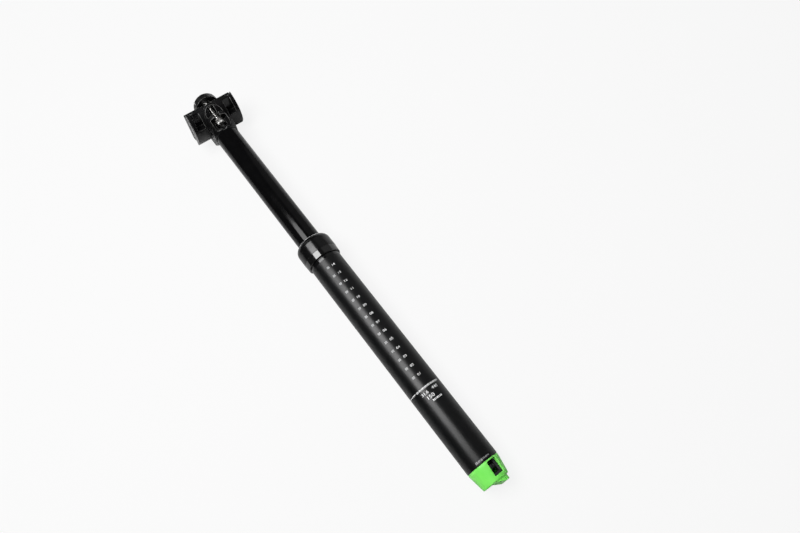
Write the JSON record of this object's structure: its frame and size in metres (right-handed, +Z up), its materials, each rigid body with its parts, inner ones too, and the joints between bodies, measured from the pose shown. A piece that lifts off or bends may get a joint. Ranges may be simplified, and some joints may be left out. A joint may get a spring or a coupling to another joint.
{
  "type": "dropper seatpost",
  "caption": "Telescopic bicycle seatpost: a black tube clamped by the frame, a sliding stanchion on a locking gas cartridge, and a tilting rail clamp for the saddle on top.",
  "frame": {"origin": "on the post's axis at the underside of the lock collar, where a fully inserted frame's seat tube ends", "axes": "+Z up the post to the saddle, +X forward, +Y to the rider's left"},
  "size_m": [0.0494, 0.053, 0.4807],
  "materials": {
    "tube_satin": "satin black anodised",
    "stanchion_gloss": "smooth black hard anodised",
    "collar_black": "semi-gloss black anodised",
    "forged_black": "satin black, bead blasted",
    "bolt_steel": "bright zinc plated",
    "cap_green": "smooth moulded",
    "seal_rubber": "moulded",
    "oil_foam": "open-cell foam",
    "bush_polymer": "machined",
    "bumper_rubber": "moulded",
    "machined_alloy": "turned, clear anodised",
    "cartridge_black": "black anodised",
    "turned_steel": "turned",
    "polished_steel": "ground and polished",
    "key_brass": "turned",
    "actuator_black": "black anodised"
  },
  "bodies": {
    "post_tube": {"outer_tube": "tube_satin", "lock_collar": "collar_black", "wiper_seal": "seal_rubber", "foam_ring": "oil_foam", "upper_bushing": "bush_polymer", "top_out_bumper": "bumper_rubber", "bottom_out_bumper": "bumper_rubber", "bottom_plug": "machined_alloy", "plug_o_ring": "seal_rubber", "cartridge_base": "machined_alloy", "cartridge_tube": "cartridge_black", "inner_cylinder": "polished_steel", "cartridge_gland": "machined_alloy", "rod_seal": "seal_rubber", "cartridge_nut": "turned_steel", "valve_retainer": "turned_steel", "valve_spring": "turned_steel", "actuator_base": "actuator_black", "lever_pivot_pin": "turned_steel"},
    "stanchion": {"stanchion_tube": "stanchion_gloss", "saddle_head": "forged_black", "anti_rotation_keys": "key_brass", "lower_bushing": "bush_polymer", "retaining_ring": "turned_steel", "piston_rod": "polished_steel", "rod_piston": "machined_alloy", "piston_ring": "seal_rubber", "rod_nut": "turned_steel"},
    "rail_clamp": {"lower_cradle": "forged_black", "upper_clamp": "forged_black"},
    "front_nut": {"front_barrel_nut": "bolt_steel"},
    "rear_nut": {"rear_barrel_nut": "bolt_steel"},
    "front_screw": {"front_bolt": "bolt_steel", "front_washer": "bolt_steel"},
    "rear_screw": {"rear_bolt": "bolt_steel", "rear_washer": "bolt_steel"},
    "lever": {"actuator_lever": "actuator_black"},
    "valve": {"valve_pin": "polished_steel"},
    "gas_piston": {"floating_piston": "machined_alloy", "floating_ring": "seal_rubber"},
    "cap": {"transport_cap": "cap_green"}
  },
  "joints": [
    {"name": "dropper_travel", "type": "slide", "parent": "post_tube", "child": "stanchion", "axis": [0, 0, 1], "range_m": [-0.15, 0], "stiffness_N_per_m": 200, "springref_m": 0.3},
    {"name": "gas_shift", "type": "slide", "parent": "post_tube", "child": "gas_piston", "axis": [0, 0, 1], "range_m": [0, 0.1317]},
    {"name": "saddle_tilt", "type": "hinge", "parent": "stanchion", "child": "rail_clamp", "pos_m": [0.00263, 0, 0.21411], "axis": [0, 1, 0], "range_deg": [-8, 8]},
    {"name": "front_nut_turn", "type": "hinge", "parent": "rail_clamp", "child": "front_nut", "pos_m": [0.01841, 0, 0.20928], "axis": [0, 1, 0], "range_deg": [-9, 9]},
    {"name": "rear_nut_turn", "type": "hinge", "parent": "rail_clamp", "child": "rear_nut", "pos_m": [-0.01315, 0, 0.21893], "axis": [0, 1, 0], "range_deg": [-9, 9]},
    {"name": "front_bolt_feed", "type": "slide", "parent": "front_nut", "child": "front_screw", "axis": [0, 0, 1], "range_m": [-0.0025, 0.0025]},
    {"name": "rear_bolt_feed", "type": "slide", "parent": "rear_nut", "child": "rear_screw", "axis": [0, 0, 1], "range_m": [-0.0025, 0.0025]},
    {"name": "lever_pull", "type": "hinge", "parent": "post_tube", "child": "lever", "pos_m": [-0.0036, 0, -0.2406], "axis": [0, -1, 0], "range_deg": [0, 24]},
    {"name": "valve_lift", "type": "slide", "parent": "post_tube", "child": "valve", "axis": [0, 0, 1], "range_m": [0, 0.00147], "stiffness_N_per_m": 27, "springref_m": -0.0022, "deforming": ["valve_spring"]},
    {"name": "cap_pull", "type": "slide", "parent": "post_tube", "child": "cap", "axis": [0, 0, -1], "range_m": [0, 0.06]}
  ],
  "couplings": [
    {"joint": "gas_shift", "follows": "dropper_travel", "ratio": -0.87719},
    {"joint": "front_nut_turn", "follows": "saddle_tilt", "ratio": -1},
    {"joint": "rear_nut_turn", "follows": "saddle_tilt", "ratio": -1},
    {"joint": "front_bolt_feed", "follows": "saddle_tilt", "m_per_rad": 0.015779},
    {"joint": "rear_bolt_feed", "follows": "saddle_tilt", "m_per_rad": -0.015779},
    {"joint": "lever_pull", "follows": "valve_lift", "rad_per_m": 284.9}
  ]
}
